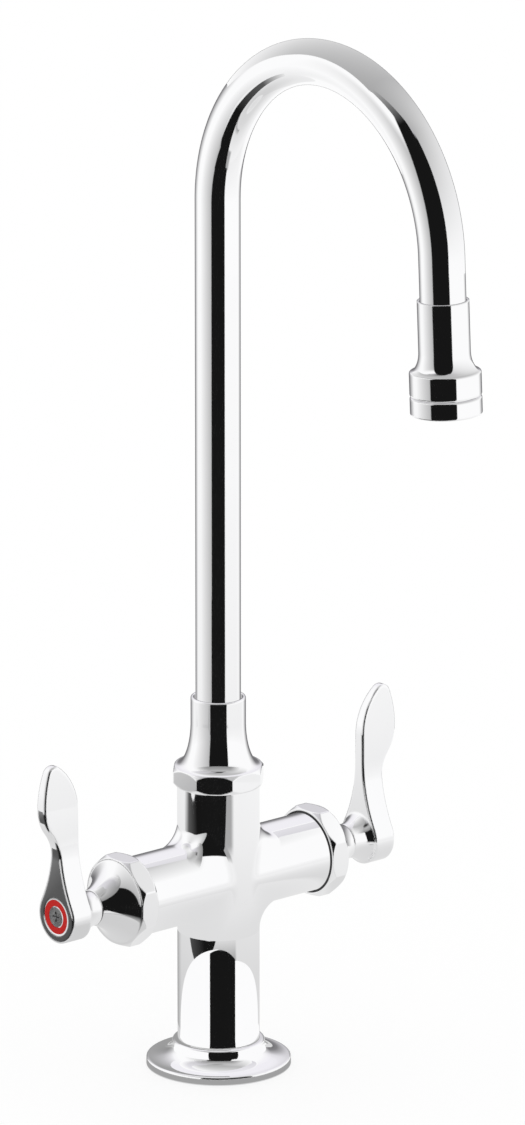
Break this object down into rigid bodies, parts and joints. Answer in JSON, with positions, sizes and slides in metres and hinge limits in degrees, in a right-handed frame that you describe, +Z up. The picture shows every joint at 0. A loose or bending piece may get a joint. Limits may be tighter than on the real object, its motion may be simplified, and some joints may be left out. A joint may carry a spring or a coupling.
{
  "type": "gooseneck faucet",
  "caption": "Deck-mounted mixing faucet with a swivelling gooseneck spout, lever-handled valves on side arms and a round base flange.",
  "frame": {"origin": "on the deck plane, at the centre of the base gasket under the column", "axes": "+Z up along the column, +X towards the cold valve, spout towards -Y at rest"},
  "size_m": [0.1928, 0.1897, 0.4584],
  "materials": {
    "chrome": "polished chrome plate",
    "brass": "machined",
    "steel": "bright stainless",
    "rubber": "moulded black",
    "acetal": "white acetal",
    "ceramic": "lapped alumina",
    "hot_index": "glossy red",
    "cold_index": "glossy blue"
  },
  "bodies": {
    "body": {"body_casting": "chrome", "base_flange": "chrome", "base_gasket": "rubber", "coupling_nut": "chrome", "swivel_bushing": "acetal", "hot_bonnet": "chrome", "hot_collar_seal": "rubber", "hot_cartridge_body": "brass", "hot_cartridge_o_ring": "rubber", "hot_seat_seal": "rubber", "hot_lower_disc": "ceramic", "cold_bonnet": "chrome", "cold_collar_seal": "rubber", "cold_cartridge_body": "brass", "cold_cartridge_o_ring": "rubber", "cold_seat_seal": "rubber", "cold_lower_disc": "ceramic"},
    "spout": {"gooseneck_tube": "chrome", "spout_ferrule": "brass", "spout_o_rings": "rubber", "outlet_fitting": "chrome", "aerator_housing": "chrome", "aerator_washer": "rubber", "aerator_screen": "steel", "flow_straightener": "acetal"},
    "hot_handle": {"hot_upper_disc": "ceramic", "hot_stem": "brass", "hot_stem_o_ring": "rubber", "hot_retaining_clip": "steel", "hot_lever": "chrome", "hot_index_ring": "hot_index", "hot_handle_screw": "steel"},
    "cold_handle": {"cold_upper_disc": "ceramic", "cold_stem": "brass", "cold_stem_o_ring": "rubber", "cold_retaining_clip": "steel", "cold_lever": "chrome", "cold_index_ring": "cold_index", "cold_handle_screw": "steel"}
  },
  "joints": [
    {"name": "spout_swivel", "type": "hinge", "parent": "body", "child": "spout", "pos_m": [0, 0, 0.1316], "axis": [0, 0, 1], "continuous": true},
    {"name": "hot_handle_turn", "type": "hinge", "parent": "body", "child": "hot_handle", "pos_m": [0, 0, 0.0839], "axis": [1, 0, 0], "range_deg": [0, 90]},
    {"name": "cold_handle_turn", "type": "hinge", "parent": "body", "child": "cold_handle", "pos_m": [0, 0, 0.0839], "axis": [1, 0, 0], "range_deg": [0, 90]}
  ]
}
